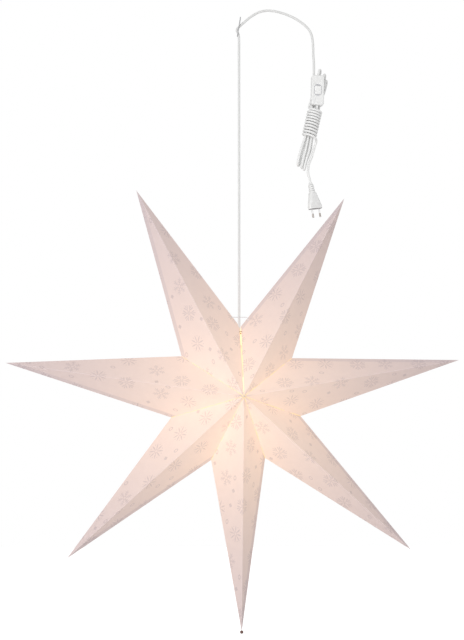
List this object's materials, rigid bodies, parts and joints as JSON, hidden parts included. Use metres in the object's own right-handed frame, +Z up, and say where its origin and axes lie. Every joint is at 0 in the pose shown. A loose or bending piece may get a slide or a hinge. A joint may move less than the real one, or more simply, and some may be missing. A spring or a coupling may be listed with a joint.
{
  "type": "moravian star pendant",
  "caption": "Folded paper star pendant on a white cord, with a lamp holder and bulb inside, an adjuster plate, an inline rocker switch, a tied hank of cord and a two-pin plug.",
  "frame": {"origin": "centre of the hanging eye in the small adjuster plate that the cord is laced through", "axes": "+Z up along the taut cord, -Y out of the star's face towards the viewer, +X to the viewer's right"},
  "size_m": [1.0052, 0.2258, 1.3905],
  "materials": {
    "paper": "matt translucent paper with a faint printed pattern",
    "wire": "bright drawn wire",
    "thread": "twisted thread",
    "bead": "glossy dark brown",
    "holder_plastic": "smooth white moulding",
    "insulator": "plain insulating moulding",
    "contact_brass": "bare brass",
    "copper": "bare copper strands",
    "bulb_metal": "rolled thin metal",
    "bulb_white": "smooth white moulding",
    "bulb_black": "glossy black",
    "bulb_glass": "opal glass",
    "cord": "smooth white sheath",
    "clear_plate": "thin white moulding",
    "switch_shell": "smooth light grey-white",
    "switch_key": "smooth white",
    "plug_shell": "fine-textured white",
    "plug_metal": "nickel plated",
    "sleeve": "white insulating sleeve",
    "steel_screw": "zinc plated"
  },
  "bodies": {
    "suspension": {"hook_plate": "clear_plate", "cord_drop": "cord", "cord_arch": "cord", "cord_hank": "cord", "cord_tail": "cord", "holder_cap": "holder_plastic", "holder_skirt": "holder_plastic", "holder_insert": "insulator", "holder_screw_shell": "contact_brass", "holder_terminals": "contact_brass", "holder_terminal_screws": "steel_screw", "holder_leads": "copper", "switch_front": "switch_shell", "switch_back": "switch_shell", "switch_pivot_pin": "steel_screw", "switch_contact_blade": "contact_brass", "switch_fixed_contact": "contact_brass", "switch_terminals": "contact_brass", "switch_screw_heads": "steel_screw", "switch_leads": "copper", "plug_body": "plug_shell", "plug_strain_relief": "plug_shell", "plug_pins": "plug_metal", "plug_pin_sleeves": "sleeve"},
    "star": {"ray_1": "paper", "ray_2": "paper", "ray_3": "paper", "ray_4": "paper", "ray_5": "paper", "ray_6": "paper", "ray_7": "paper", "seam_tie_front": "wire", "seam_tie_back": "wire", "hub_knot_front": "thread", "hub_knot_back": "thread", "tip_bead": "bead", "hanger_wire": "wire"},
    "rocker": {"switch_rocker": "switch_key"},
    "contact": {"holder_centre_contact": "contact_brass"},
    "bulb": {"bulb_contact": "contact_brass", "bulb_insulator": "bulb_black", "bulb_base": "bulb_metal", "bulb_collar": "bulb_white", "bulb_globe": "bulb_glass", "bulb_light_stem": "bulb_white"}
  },
  "joints": [
    {"name": "star_turn", "type": "hinge", "parent": "suspension", "child": "star", "pos_m": [-0.0027, 0, -0.7439], "axis": [0, 0, 1], "continuous": true},
    {"name": "rocker_tilt", "type": "hinge", "parent": "suspension", "child": "rocker", "pos_m": [0.1753, -0.002, -0.1593], "axis": [-0.9997, 0, 0.0262], "range_deg": [0, 12]},
    {"name": "contact_travel", "type": "slide", "parent": "suspension", "child": "contact", "axis": [0, 0, -1], "range_m": [0, 0.00212]},
    {"name": "bulb_turn", "type": "hinge", "parent": "contact", "child": "bulb", "pos_m": [-0.0027, 0, -0.78], "axis": [0, 0, -1], "range_deg": [0, 270]}
  ],
  "couplings": [
    {"joint": "bulb_turn", "follows": "contact_travel", "rad_per_m": 2228.1}
  ]
}
